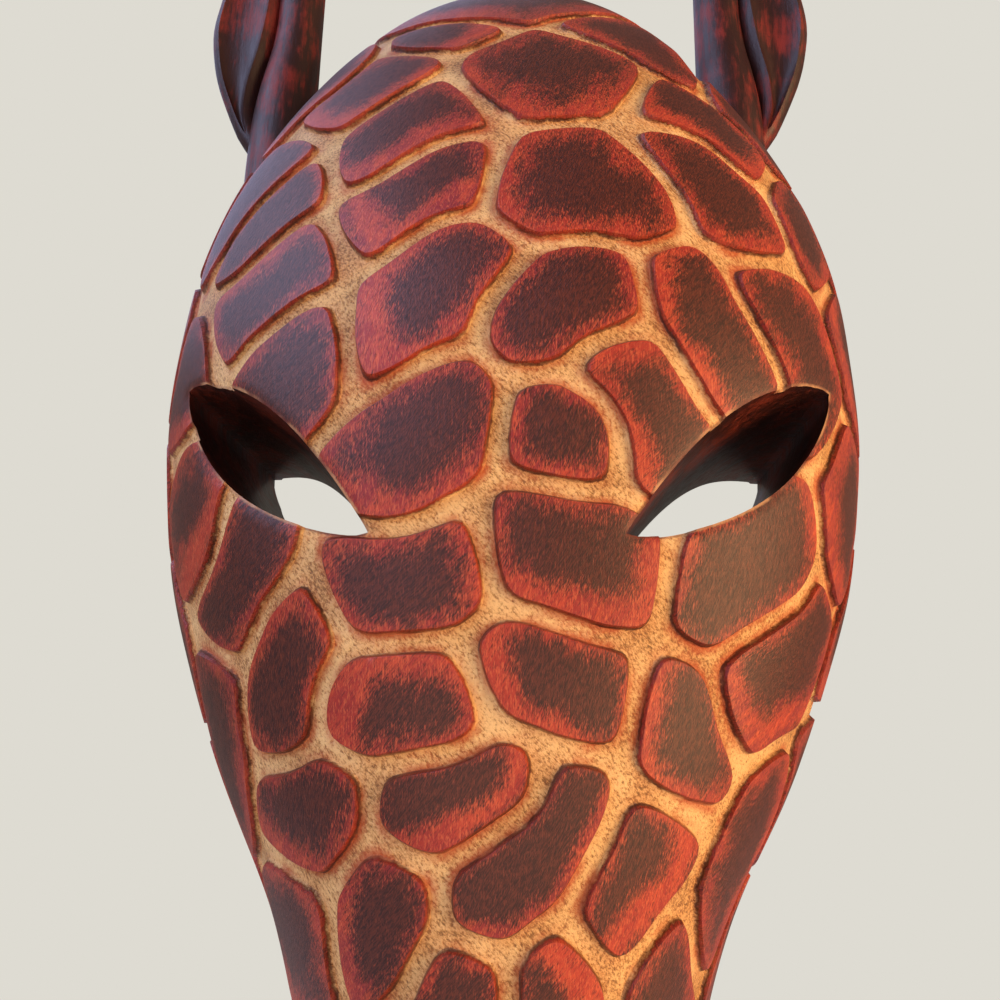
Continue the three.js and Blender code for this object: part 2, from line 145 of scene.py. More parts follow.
# Each patch spreads from a spine: girth angle and height of one end, then of the other,
# and how far it is drawn in from its neighbours where it is smaller than they are
PATCHES = [
    # brow, left of the midline and then right of it
    (-10, 195, -6, 203), (-13, 180, -5, 181), (-11, 214, -4, 225), (-15, 234, -6, 240),
    (-18, 246, -9, 256), (-28, 260, -19, 266), (-26, 209, -21, 212), (-37, 222, -24, 229),
    (-38, 236, -27, 243), (-46, 242, -34, 252), (-50, 209, -47, 217),
    (0, 263, 12, 266), (3, 238, 13, 239), (4, 217, 8, 219), (6, 201, 7, 201, 1),
    (12, 209, 18, 200, 1), (22, 221, 28, 210, 0.8), (25, 246, 33, 236), (27, 260, 36, 256),
    (36, 226, 44, 214),
    # cheeks and bridge of the nose
    (-46, 190, -48, 201), (-40, 178, -32, 184), (-29, 166, -24, 174), (-15, 166, -5, 166),
    (-31, 151, -24, 153), (-8, 152, 1, 156), (-17, 138, -13, 144), (-44, 130, -38, 139),
    (-4, 126, -4, 133), (-52, 157, -46, 168),
    (4, 184, 11, 182), (27, 180, 38, 186), (36, 170, 50, 178), (2, 170, 10, 167),
    (23, 165, 25, 160), (9, 154, 0, 144), (22, 150, 21, 141), (46, 142, 50, 151),
    (11, 126, 11, 134), (33, 127, 32, 135), (57, 190, 58, 203),
    # crown
    (-10, 291, 6, 295), (-14, 277, -12, 277, 3), (24, 279, 34, 273, 1), (-52, 266, -40, 272),
    (52, 262, 44, 270), (50, 240, 50, 246),
    # sides, back to the wall
    (-68, 220, -66, 234), (-62, 246, -60, 258), (-74, 193, -72, 207), (-66, 170, -70, 182),
    (-74, 140, -68, 156), (64, 216, 60, 228), (68, 248, 68, 260), (78, 200, 76, 214),
    (66, 174, 72, 186), (70, 150, 68, 162), (68, 126, 66, 138),
    # muzzle
    (-52, 108, -46, 116), (-14, 108, -10, 114), (24, 106, 28, 114), (74, 104, 68, 116),
    (-78, 112, -74, 122), (-68, 86, -64, 97), (-28, 88, -22, 96), (13, 88, 14, 94),
    (56, 86, 56, 97), (-48, 68, -44, 75), (-6, 67, -2, 73), (36, 66, 38, 73), (76, 66, 74, 78),
    (-80, 62, -78, 74), (-66, 50, -60, 55), (-24, 50, -18, 54), (14, 51, 18, 52),
    (56, 50, 60, 56),
]

# The paint: how the gouge's nicks lean, and how far from a patch's middle its dark centre is brushed
NICK_SLANT = 0.75
CENTRE_STRAYS, CENTRE_HIGHER = 1.9, 1.1
STROKES_LEAN = (15, 50)
CREASE_ANGLE = math.radians(28)

# The floor and the point that the lamps are aimed at, in metres
FLOOR_AT, FLOOR_RADIUS = -0.45, 1.2
LIT_POINT = (0, -0.04, -0.05)

# The camera: just under eye height, close to the face and looking up at it
CAMERA_AT = (0.0060, -0.1855, -0.1100)
CAMERA_LENS = 34.56
CAMERA_YAW = math.radians(-2.66)
CAMERA_PITCH = math.radians(14.86)
CAMERA_ROLL = math.radians(1.2)


def place_camera():
    ahead = Vector((math.sin(CAMERA_YAW) * math.cos(CAMERA_PITCH),
                    math.cos(CAMERA_YAW) * math.cos(CAMERA_PITCH),
                    math.sin(CAMERA_PITCH)))
    right = ahead.cross(Vector((0, 0, 1))).normalized()
    up = right.cross(ahead)
    rolled_right = right * math.cos(CAMERA_ROLL) + up * math.sin(CAMERA_ROLL)
    rolled_up = up * math.cos(CAMERA_ROLL) - right * math.sin(CAMERA_ROLL)
    camera = bpy.data.objects.new("camera", bpy.data.cameras.new("camera"))
    bpy.context.scene.collection.objects.link(camera)
    camera.data.lens = CAMERA_LENS
    camera.data.sensor_width = 36
    camera.data.clip_start = 0.01
    camera.data.clip_end = 20
    turned = Matrix((rolled_right, rolled_up, -ahead)).transposed()
    camera.matrix_world = Matrix.Translation(CAMERA_AT) @ turned.to_4x4()
    bpy.context.scene.camera = camera


place_camera()


# Form of the head


def along(table, up):
    """A smooth line through a table of heights, at every height of an array."""
    xs, ys = np.array(table, float).T
    up = np.clip(up, xs[0], xs[-1])
    row = np.clip(np.searchsorted(xs, up) - 1, 0, len(xs) - 2)
    before = np.maximum(np.arange(len(xs)) - 1, 0)
    after = np.minimum(np.arange(len(xs)) + 1, len(xs) - 1)
    slopes = (ys[after] - ys[before]) / (xs[after] - xs[before])
    step = xs[row + 1] - xs[row]
    s = (up - xs[row]) / step
    return ((2 * s**3 - 3 * s**2 + 1) * ys[row] + (s**3 - 2 * s**2 + s) * step * slopes[row]
            + (3 * s**2 - 2 * s**3) * ys[row + 1] + (s**3 - s**2) * step * slopes[row + 1])


def drawn_in(up):
    """How far the section has drawn in towards the crown and the chin."""
    high = np.clip((up - CROWN_FROM) / (CROWN_TOP - CROWN_FROM), 0, 1)
    low = np.clip((CHIN_ROUND - up) / CHIN_ROUND, 0, 1)
    return ((1 - high**CROWN_ROUNDNESS) ** (1 / CROWN_ROUNDNESS)
            * (1 - low**CHIN_BLUNTNESS) ** (1 / CHIN_BLUNTNESS))


def half_width(up):
    return HEAD_HALF_WIDTH * along(WIDTH_SHARES, up) * drawn_in(up)


def depth(up):
    return along(DEPTHS, up) * drawn_in(up)


def skin(angle, up):
    """The face's surface: the girth angle runs from one back edge (-90) over the nose to the other."""
    s = np.sin(np.radians(angle))
    c = np.maximum(np.cos(np.radians(angle)), 0)
    power = 2 / SECTION_FULLNESS
    across = half_width(up) * np.sign(s) * np.abs(s) ** power
    return np.stack([across, -depth(up) * c**power, up + 0 * angle], axis=-1)


def outward(angle, up):
    """The direction straight out of the skin."""
    turn, rise = 2.0, 1.0
    round_ = skin(angle + turn, up) - skin(angle - turn, up)
    rising = skin(angle, np.minimum(up + rise, CROWN_TOP)) - skin(angle, np.maximum(up - rise, 0))
    out = np.cross(round_, rising)
    return out / np.maximum(np.linalg.norm(out, axis=-1, keepdims=True), 1e-9)


def smooth_step(low, high, value):
    share = np.clip((value - low) / (high - low), 0, 1)
    return share * share * (3 - 2 * share)


def slot_bulges(share):
    """How far an eye slot's upper and lower edges stand off the line between its corners."""
    upper = EYE_UPPER_BULGE * np.maximum(np.sin(np.pi * share**EYE_UPPER_SKEW), 0) ** EYE_BLUNTNESS
    lower = EYE_LOWER_BULGE * np.sin(np.pi * share) ** EYE_BLUNTNESS
    return upper, lower


def eye_gap(points):
    """How far each point lies outside an eye slot."""
    fx = np.abs(points[:, 0]) - EYE_INNER[0]
    fz = points[:, 2] - EYE_INNER[1]
    share = (fx * EYE_RUN[0] + fz * EYE_RUN[1]) / EYE_LONG**2
    rise = (fz * EYE_RUN[0] - fx * EYE_RUN[1]) / EYE_LONG
    upper, lower = slot_bulges(np.clip(share, 0, 1))
    between = np.maximum(rise - upper, -lower - rise)
    gap = np.where(share <= 0, np.hypot(fx, fz), between)
    return np.where(share >= 1, np.hypot(fx - EYE_RUN[0], fz - EYE_RUN[1]), gap)


def patch_spines():
    rows = np.array([row[:4] for row in PATCHES], float)
    drawn = np.array([row[4] if len(row) > 4 else 0 for row in PATCHES], float)
    return skin(rows[:, 0], rows[:, 1]), skin(rows[:, 2], rows[:, 3]), drawn


def patch_field(points):
    """For each point: how far it is inside its patch's edge, and which patch that is."""
    start, end, drawn = patch_spines()
    reach = np.empty((len(points), len(PATCHES)))
    for k in range(len(PATCHES)):
        run = end[k] - start[k]
        share = np.clip((points - start[k]) @ run / max(run @ run, 1e-9), 0, 1)
        reach[:, k] = np.linalg.norm(points - start[k] - share[:, None] * run, axis=1) + drawn[k]
    own = reach.argmin(axis=1)
    nearest = reach[np.arange(len(points)), own]
    reach[np.arange(len(points)), own] = 1e4
    crowd = reach.min(axis=1)
    crowding = np.exp(-CORNER_SHARPNESS * (reach - crowd[:, None])).sum(axis=1)
    others = crowd - np.log(crowding) / CORNER_SHARPNESS
    lowest = PATCHES_FROM + PATCHES_FROM_WAVE * np.sin(0.3 * points[:, 0] + 1)
    # the corners are rounded where a patch ends at the wall or above the nose
    limits = np.stack([(others - nearest) / 2 - HALF_CHANNEL, -points[:, 1] - BACK_EDGE_CLEAR,
                       points[:, 2] - lowest])
    closest = limits.min(axis=0)
    rounded = np.log(np.exp(-CORNER_SHARPNESS * (limits - closest)).sum(axis=0)) / CORNER_SHARPNESS
    return closest - rounded, own


def unevenness(points):
    """The slow swells that a carver's hand leaves, before they are scaled to SWELLS."""
    rng = np.random.default_rng(7)
    total = np.zeros(len(points))
    for _ in range(9):
        way = rng.normal(size=3)
        way *= 2 * np.pi / rng.uniform(14, 34) / np.linalg.norm(way)
        total += np.sin(points @ way + rng.uniform(0, 6.3))
    return total / 9


# Building blocks


def wrapped_grid(columns, rows, place):
    """A closed shape from a grid: place gives the points for shares round (0 to 1) and up (0 to 1)."""
    bm = bmesh.new()
    bmesh.ops.create_grid(bm, x_segments=columns, y_segments=rows, size=1)
    shares = np.array([v.co[:2] for v in bm.verts]) / 2 + 0.5
    for vert, point in zip(bm.verts, place(shares[:, 0], shares[:, 1])):
        vert.co = point
    return closed_up(bm, 0.004)


def closed_up(bm, apart):
    """Joins points closer than apart, closes the open sides and turns every face outward."""
    bmesh.ops.remove_doubles(bm, verts=bm.verts, dist=apart)
    bmesh.ops.dissolve_degenerate(bm, edges=bm.edges, dist=apart / 2)
    bmesh.ops.holes_fill(bm, edges=[e for e in bm.edges if e.is_boundary], sides=0)
    bmesh.ops.triangulate(bm, faces=[f for f in bm.faces if len(f.verts) > 4])
    bmesh.ops.recalc_face_normals(bm, faces=bm.faces)
    return bm


def even_shares(fine, path, weight):
    """Places along a path that are an equal weighted step apart, as shares of the whole."""
    steps = np.linalg.norm(np.diff(path, axis=0), axis=1) * weight
    run = np.concatenate([[0], np.cumsum(steps)])
    return lambda share: np.interp(share, run / run[-1], fine)


def as_object(name, bm, look=0):
    for face in bm.faces:
        face.material_index = look
        face.smooth = True
    mesh = bpy.data.meshes.new(name)
    bm.to_mesh(mesh)
    bm.free()
    made = bpy.data.objects.new(name, mesh)
    bpy.context.scene.collection.objects.link(made)
    return made


def join_or_cut(target, shape, way):
    """Joins a shape to the target (UNION) or cuts it out of it (DIFFERENCE), and uses it up."""
    for look in LOOKS.values():
        shape.data.materials.append(look)
    step = target.modifiers.new(way, "BOOLEAN")
    step.operation = way
    step.solver = "MANIFOLD"
    step.object = shape
    bpy.context.view_layer.update()
    shown = target.evaluated_get(bpy.context.evaluated_depsgraph_get())
    done = bpy.data.meshes.new_from_object(shown)
    old = target.data
    target.modifiers.clear()
    target.data = done
    bpy.data.meshes.remove(old)
    bpy.data.objects.remove(shape)


# Materials


def linear(code):
    """An sRGB hex colour as linear red, green, blue and full alpha."""
    parts = [int(code[k:k + 2], 16) / 255 for k in (1, 3, 5)]
    return tuple(p / 12.92 if p <= 0.04045 else ((p + 0.055) / 1.055) ** 2.4 for p in parts) + (1,)


def add(tree, kind, inputs, output=0, **settings):
    """Adds a node with its settings and inputs and gives one of its outputs.

    An input is a number, a row of numbers, an sRGB hex colour or another node's output."""
    node = tree.nodes.new(kind)
    for name, value in settings.items():
        setattr(node, name, value)
    for slot, value in inputs.items():
        if isinstance(value, bpy.types.NodeSocket):
            tree.links.new(value, node.inputs[slot])
        else:
            node.inputs[slot].default_value = linear(value) if isinstance(value, str) else value
    return node.outputs[output] if node.outputs else node


MATH, VECTOR, MIX = "ShaderNodeMath", "ShaderNodeVectorMath", "ShaderNodeMix"
CLIMB, NOISE, GIVEN = "ShaderNodeMapRange", "ShaderNodeTexNoise", "ShaderNodeAttribute"
SURFACE, OUTPUT = "ShaderNodeBsdfPrincipled", "ShaderNodeOutputMaterial"


def new_look(name):
    look = bpy.data.materials.new(name)
    look.use_nodes = True
    look.node_tree.nodes.clear()
    return look, look.node_tree


def strayed(tree, value, *noises):
    """A value pushed to and fro by noises, each given with how far it pushes."""
    for noise, by in noises:
        push = add(tree, MATH, {0: noise, 1: 0.5}, operation="SUBTRACT")
        push = add(tree, MATH, {0: push, 1: by}, operation="MULTIPLY")
        value = add(tree, MATH, {0: value, 1: push}, operation="ADD")
    return value


def laid_over(tree, under, over, where, low, high, least=0.0, most=1.0):
    """One paint over another, from least to most of it as a value climbs from low to high."""
    share = add(tree, CLIMB, {0: where, 1: low, 2: high, 3: least, 4: most},
                interpolation_type="SMOOTHSTEP")
    return add(tree, MIX, {0: share, 6: under, 7: over}, 2, data_type="RGBA")


def painted_coat():
    """Poster paint brushed on carved softwood under a satin lacquer.

    Golden cream in the channels, nicked by the gouge so that dirt sits in the nicks; each raised
    patch is brick red, dry-brushed near black over its middle so that a red rim is left. The
    lacquer gives the raised paint a soft cool sheen where the light grazes it."""
    look, tree = new_look("lacquered_paint_on_carved_softwood")
    inside, heart, tint, slot_gap = (
        add(tree, GIVEN, {}, "Fac", attribute_name=name)
        for name in ("inside_patch", "patch_heart", "patch_tint", "slot_gap"))
    strokes_at = add(tree, GIVEN, {}, "Vector", attribute_name="brush_way")
    place = add(tree, "ShaderNodeTexCoord", {}, "Object")
    in_mm = add(tree, VECTOR, {0: place, "Scale": 1 / MM}, operation="SCALE")
    slanted = add(tree, "ShaderNodeVectorRotate", {"Vector": in_mm, "Angle": NICK_SLANT},
                  rotation_type="Y_AXIS")
    fine_way, broad_way, grain_way, nick_way = (
        add(tree, VECTOR, {0: source, 1: shares}, operation="MULTIPLY")
        for source, shares in ((strokes_at, (0.16, 1, 1)), (strokes_at, (0.35, 1, 1)),
                               (in_mm, (1, 1, 0.16)), (slanted, (1, 1, 0.4))))
    # the scale counts marks to the millimetre: bristle marks 0.2 mm wide and 1 mm long, sweeps of
    # the brush 2 mm wide and 6 mm long, the upright grain, the gouge's slanted nicks 0.3 mm wide,
    # worn areas 8 mm and stains 12 mm wide, grit, and the wobble of a painted edge
    bristles, sweeps, grain, nicks, patchy, stains, grit, wobble = (
        add(tree, NOISE, {"Vector": way, "Scale": scale, "Detail": detail, "Roughness": rough,
                          "Distortion": bent})
        for way, scale, detail, rough, bent in (
            (fine_way, 5.8, 3, 0.72, 0), (broad_way, 0.5, 4, 0.65, 0.4), (grain_way, 5.6, 2, 0.7, 0),
            (nick_way, 3.2, 3, 0.8, 0), (in_mm, 0.13, 3, 0.55, 0), (in_mm, 0.085, 3, 0.6, 0.5),
            (in_mm, 2.2, 3, 0.7, 0), (in_mm, 0.5, 2, 0.5, 0)))

    edge = strayed(tree, inside, (wobble, 0.3), (grit, 0.25))
    # shares that climb or fall with a value: on a patch, near enough to it for red to bleed off, in a
    # stain, the two sides of the painted shade line at each patch's foot and where it shows, and the lip
    # of a slot
    on_patch, near_patch, stained, outer_side, inner_side, shows, at_lip, dulled = (
        add(tree, CLIMB, {0: value, 1: low, 2: high, 3: least, 4: most},
            interpolation_type="SMOOTHSTEP")
        for value, low, high, least, most in (
            (edge, -0.1, 0.06, 0, 1),
            (strayed(tree, edge, (grit, 1.0)), -1.4, -0.2, 0, 1), (stains, 0.44, 0.62, 0.15, 0.8),
            (edge, -0.22, -0.1, 0, 1), (edge, 0.08, -0.04, 0, 1), (patchy, 0.38, 0.6, 0.1, 0.9),
            (strayed(tree, slot_gap, (grit, 0.5)), 0.5, 0.15, 0, 1), (bristles, 0.3, 0.75, 0.44, 0.6)))
    bleed = add(tree, MATH, {0: near_patch, 1: stained}, operation="MULTIPLY")
    # painted shade: a dark line in the crease at each patch's foot
    foot_shade = add(tree, MATH, {0: outer_side, 1: inner_side}, operation="MULTIPLY")
    foot_shade = add(tree, MATH, {0: foot_shade, 1: shows}, operation="MULTIPLY")
    lip = add(tree, MATH, {0: at_lip, 1: 0.8}, operation="MULTIPLY")

    # ground of the channels, with dirt in the nicks and red bleeding off the patches
    dirty = strayed(tree, nicks, (patchy, 0.4), (grit, 0.35))
    ground = laid_over(tree, "#ECC283", "#D9A86C", patchy, 0.35, 0.65)
    ground = laid_over(tree, ground, "#F3D296", grain, 0.5, 0.75, 0.0, 0.5)
    ground = laid_over(tree, ground, "#AE7438", dirty, 0.42, 0.6, 0.0, 0.7)
    ground = laid_over(tree, ground, "#4E2E12", dirty, 0.54, 0.68, 0.0, 0.66)
    ground = add(tree, MIX, {0: bleed, 6: ground, 7: "#B5481F"}, 2, data_type="RGBA")
    # the patches: red rims, brushed over near black
    red = add(tree, MIX, {0: tint, 6: "#801E22", 7: "#A02C18"}, 2, data_type="RGBA")
    red = laid_over(tree, red, "#B84224", sweeps, 0.38, 0.66)
    red = laid_over(tree, red, "#561412", bristles, 0.48, 0.66, 0.0, 0.65)
    red = laid_over(tree, red, "#D0683E", grain, 0.5, 0.34, 0.0, 0.5)
    dark = laid_over(tree, "#4C1F10", "#220C07", bristles, 0.38, 0.6)
    dark = laid_over(tree, dark, "#7A3420", grain, 0.46, 0.32, 0.0, 0.45)
    middle = strayed(tree, heart, (sweeps, 1.2), (bristles, 0.95), (patchy, 0.9), (grain, 0.95))
    paint = laid_over(tree, red, dark, middle, -0.02, 0.62, 0.0, 0.95)
    # painted shade: a darker red along each patch's edge and steep wall, where the wall turns from the
    # light
    paint = laid_over(tree, paint, "#6A1C14", edge, 0.02, 0.34, 0.5, 0.0)
    colour = add(tree, MIX, {0: on_patch, 6: ground, 7: paint}, 2, data_type="RGBA")
    # a thin dark line where the patch stands on the ground, painted shade in the crease at its foot,
    # missing in places
    colour = add(tree, MIX, {0: foot_shade, 6: colour, 7: "#481A0E"}, 2, data_type="RGBA")
    # wear along the lip of the eye slots: a rubbed line, reddened in places
    worn = laid_over(tree, "#B98A60", "#5E2214", stains, 0.4, 0.55)
    colour = add(tree, MIX, {0: lip, 6: colour, 7: worn}, 2, data_type="RGBA")
    # the nose is stained dark, dry-brushed out into the cream
    height_mm = add(tree, "ShaderNodeSeparateXYZ", {"Vector": in_mm}, "Z")
    up_nose = strayed(tree, height_mm, (patchy, 12.0), (grit, 8.0))
    colour = laid_over(tree, colour, "#2B1613", up_nose, -246.0, -232.0, 0.93, 0.0)

    # relief finer than the carving, in millimetres: a rounded shoulder, bristle marks, gouge nicks
    shoulder = add(tree, CLIMB, {0: edge, 1: -0.12, 2: 0.3, 3: 0, 4: 0.16},
                   interpolation_type="SMOOTHSTEP")
    marks = add(tree, MATH, {0: bristles, 1: grain}, operation="ADD")
    marks = add(tree, MATH, {0: marks, 1: on_patch}, operation="MULTIPLY")
    marks = add(tree, MATH, {0: marks, 1: 0.05}, operation="MULTIPLY")
    off_patch = add(tree, MATH, {0: 1.0, 1: on_patch}, operation="SUBTRACT")
    scrapes = add(tree, MATH, {0: nicks, 1: off_patch}, operation="MULTIPLY")
    scrapes = add(tree, MATH, {0: scrapes, 1: -0.3}, operation="MULTIPLY")
    height = add(tree, MATH, {0: marks, 1: scrapes}, operation="ADD")
    height = add(tree, MATH, {0: shoulder, 1: height}, operation="ADD")
    relief = add(tree, "ShaderNodeBump", {"Strength": 1.0, "Distance": MM, "Height": height})
    surface = add(tree, SURFACE, {
        "Base Color": colour,
        "Roughness": add(tree, MIX, {0: on_patch, 2: 0.6, 3: dulled}, data_type="FLOAT"),
        "IOR": 1.4, "Specular IOR Level": 0.4, "Coat Weight": 0.26, "Coat Roughness": 0.34,
        "Normal": relief, "Coat Normal": relief})
    add(tree, OUTPUT, {"Surface": surface})
    return look


def stained_wood(name, deep, rubbed, rub_from, rub_to, roughness, coat, grain_share=0.16, blotches=1.2):
    """Wood stained dark and rubbed back to the lighter colour under it, with strokes that run up."""
    look, tree = new_look(name)
    place = add(tree, "ShaderNodeTexCoord", {}, "Object")
    upright = (1 / MM, 1 / MM, grain_share / MM)
    drawn_out = add(tree, VECTOR, {0: place, 1: upright}, operation="MULTIPLY")
    in_mm = add(tree, VECTOR, {0: place, "Scale": 1 / MM}, operation="SCALE")
    # streaks a little over 1 mm wide, clouds of about 11 mm and grit of about 0.6 mm
    streaks, clouds, grit = (
        add(tree, NOISE, {"Vector": way, "Scale": scale, "Detail": detail, "Roughness": rough})
        for way, scale, detail, rough in (
            (drawn_out, 0.8, 4, 0.65), (in_mm, 0.09, 3, 0.6), (in_mm, 1.6, 3, 0.6)))
    rub = strayed(tree, streaks, (clouds, blotches))
    colour = laid_over(tree, deep, rubbed, rub, rub_from, rub_to)
    colour = laid_over(tree, colour, "#120908", grit, 0.55, 0.75, 0.0, 0.5)
    dulled = add(tree, CLIMB, {0: streaks, 1: 0.3, 2: 0.75, 3: roughness - 0.06, 4: roughness + 0.12},
                 interpolation_type="SMOOTHSTEP")
    rises, pits = (add(tree, MATH, {0: source, 1: by}, operation="MULTIPLY")
                   for source, by in ((streaks, 0.12), (grit, 0.06)))
    height = add(tree, MATH, {0: rises, 1: pits}, operation="ADD")
    relief = add(tree, "ShaderNodeBump", {"Strength": 1.0, "Distance": MM, "Height": height})
    surface = add(tree, SURFACE, {
        "Base Color": colour, "Roughness": dulled, "IOR": 1.4,
        "Coat Weight": coat, "Coat Roughness": 0.2, "Normal": relief})
    add(tree, OUTPUT, {"Surface": surface})
    return look


LOOKS = {
    "coat": painted_coat(),
    # smoke-dark stain under lacquer, brushed into the eye slots: the walls shine and show little wood
    "slot": stained_wood("dark_stained_lacquered_slot_wall", "#2C0E08", "#6A2616", 0.36, 0.74, 0.4, 0.08),
    # dark stain rubbed back to red on the carved horns and ears
    "horn": stained_wood("rubbed_stain_on_horns_and_ears", "#2A0E0C", "#741F18", 0.42, 0.84, 0.5, 0.05),
    # plain walnut-brown stain on the gouged back
    "back": stained_wood("brown_stained_bare_back", "#7C5030", "#A87A4C", 0.3, 0.72, 0.6, 0.0,
                         0.035, 0.5),
}


# Shapes


def cut_along(bm, level):
    """Cuts a grid laid out by girth angle and height where the coat's patches pass a level."""
    at = np.array([v.co for v in bm.verts])
    value = patch_field(skin(at[:, 0], at[:, 2]))[0] - level
    bm.verts.index_update()
    crossed = [e for e in bm.edges if value[e.verts[0].index] * value[e.verts[1].index] < 0]
    added = []
    for edge in crossed:
        one, other = (value[v.index] for v in edge.verts)
        added.append(bmesh.utils.edge_split(edge, edge.verts[0], one / (one - other))[1])
    bmesh.ops.connect_verts(bm, verts=added)


def carved_head():
    """The head with its raised patches: laid out flat, cut along the patches' edges, then lifted."""
    # points stand closest together over the front of the face and thin out to the sides and muzzle
    angles = np.linspace(-90, 90, 1801)
    ups = np.linspace(0, CROWN_TOP, 3171)
    facing = (angles[1:] + angles[:-1]) / 2
    higher = (ups[1:] + ups[:-1]) / 2
    angle_at = even_shares(angles, skin(angles, 215.0), 1 + 0.6 * np.exp(-(facing / 62) ** 4))
    up_at = even_shares(ups, skin(0.0, ups), 0.6 + 0.4 * smooth_step(105, 140, higher))
    bm = bmesh.new()
    bmesh.ops.create_grid(bm, x_segments=HEAD_COLUMNS, y_segments=HEAD_ROWS, size=1)
    shares = np.array([v.co[:2] for v in bm.verts]) / 2 + 0.5
    for vert, angle, up in zip(bm.verts, angle_at(shares[:, 0]), up_at(shares[:, 1])):
        vert.co = (angle, 0, up)
    cut_along(bm, -PATCH_SHOULDER)
    cut_along(bm, PATCH_SHOULDER)

    at = np.array([v.co for v in bm.verts])
    angle, up = at[:, 0], at[:, 2]
    base = skin(angle, up)
    inside = patch_field(base)[0]
    foot = PATCH_FOOT_SHARE * PATCH_SHOULDER
    lift = PATCH_RAISED * np.clip((inside + foot) / (2 * foot), 0, 1)
    lift += SWELLS * unevenness(base) * smooth_step(0, 6, -base[:, 1])
    lip = np.clip(1 - eye_gap(base) / LIP_WIDE, 0, 1)
    lift -= LIP_ROUNDED * lip**2
    points = base + outward(angle, up) * lift[:, None]
    flat = base[:, 1] > -0.05
    points[flat, 1] = 0
    points[:, 1] = np.clip(points[:, 1], -DEEPEST, 0)
    points[:, 0] = np.clip(points[:, 0], -WIDEST, WIDEST)
    points[:, 2] += CHIN_LIFT * np.clip(1 - up / CHIN_ROUND, 0, 1) ** 2
    points[:, 2] = np.where(up >= CROWN_TOP, CROWN_TOP, points[:, 2])
    for vert, point in zip(bm.verts, points):
        vert.co = point
    return as_object("giraffe_face", closed_up(bm, 0.03))


def limb(side, foot, top, columns, rows, ring_at):
    """A standing limb of stacked rings: ring_at gives a ring's middle, half width and half thickness."""

    def place(round_share, up_share):
        up = foot + (top - foot) * np.sin(up_share * np.pi / 2) ** 1.1
        out, back, wide, thick = ring_at(up)
        turn = 2 * np.pi * round_share
        x = LIMBS_ASIDE + side * (HORN_INNER_EDGE + out + wide * np.cos(turn))
        return np.stack([x, -back + thick * np.sin(turn), up], axis=-1)

    return wrapped_grid(columns, rows, place)


def ear_middle(up):
    return (along(EAR_INNER, up) + along(EAR_OUTER, up)) / 2


def ear_half(up):
    return np.maximum((along(EAR_OUTER, up) - along(EAR_INNER, up)) / 2, 0.2)


def ear_thick(up):
    return EAR_HALF_THICK * (0.35 + 0.65 * np.minimum(ear_half(up) / EAR_WIDEST, 1))


def ear_blade(side):
    def ring_at(up):
        over = np.clip((up - EAR_TOP + EAR_TIP_LONG) / EAR_TIP_LONG, 0, 1)
        tip = np.sqrt(np.maximum(1 - over**2, 0))
        return ear_middle(up), EAR_BACK, ear_half(up) * tip, ear_thick(up) * tip
    return limb(side, EAR_FOOT, EAR_TOP, 40, 60, ring_at)


def ear_cup(side):
    def ring_at(up):
        share = (up - EAR_CUP_FROM) / (EAR_CUP_TO - EAR_CUP_FROM)
        open_ = np.maximum(np.sin(np.pi * share), 0) ** 0.5
        wide = np.maximum(ear_half(up) - EAR_RIM, 0.3) * open_
        back = EAR_BACK + ear_thick(up) + EAR_CUP_SET_BACK
        return ear_middle(up) + EAR_RIM / 3, back, wide, EAR_CUP_DEEP * open_
    return limb(side, EAR_CUP_FROM, EAR_CUP_TO, 32, 44, ring_at)


def horn(side):
    def ring_at(up):
        root = along(HORN_ROOT, up)
        knob = np.exp(-(((up - HORN_KNOB_UP) / HORN_KNOB_LONG) ** 2))
        closing = np.clip((up - HORN_KNOB_UP) / (HORN_TOP - HORN_KNOB_UP), 0, 1)
        radius = (HORN_RADIUS + root + (HORN_KNOB_RADIUS - HORN_RADIUS) * knob) * np.sqrt(1 - closing**2)
        return HORN_RADIUS + root, HORN_BACK, radius, radius * HORN_DEEPER
    return limb(side, HORN_FOOT, HORN_TOP, 40, 64, ring_at)


def hollow():
    def place(round_share, up_share):
        up = HOLLOW_LOW + (HOLLOW_TOP - HOLLOW_LOW) * (1 - np.cos(np.pi * up_share)) / 2
        high = np.clip((up - HOLLOW_TOP + HOLLOW_TOP_ROUND) / HOLLOW_TOP_ROUND, 0, 1)
        low = np.clip((HOLLOW_LOW + HOLLOW_LOW_ROUND - up) / HOLLOW_LOW_ROUND, 0, 1)
        end = np.maximum(np.sqrt(1 - high**2) * np.sqrt(1 - low**2), 0.001)
        half = (half_width(up) * (1 - RIM_SHARE) - RIM_LEAST) * end
        deep = (depth(up) * (1 - WALL_SHARE) - WALL_LEAST) * end
        s = 2 * round_share - 1
        # shallow flutes left by the gouge
        flute = FLUTE_DEEP * np.abs(np.sin(up * FLUTE_TURN + FLUTE_SLANT * s)) * (1 - s**2)
        y = (-(deep - flute * end) * (1 - s**2) ** HOLLOW_SIDE_EASE
             + PAST_THE_BACK * smooth_step(0.985, 1, np.abs(s)))
        return np.stack([half * s, y, up], axis=-1)

    return wrapped_grid(50, 72, place)


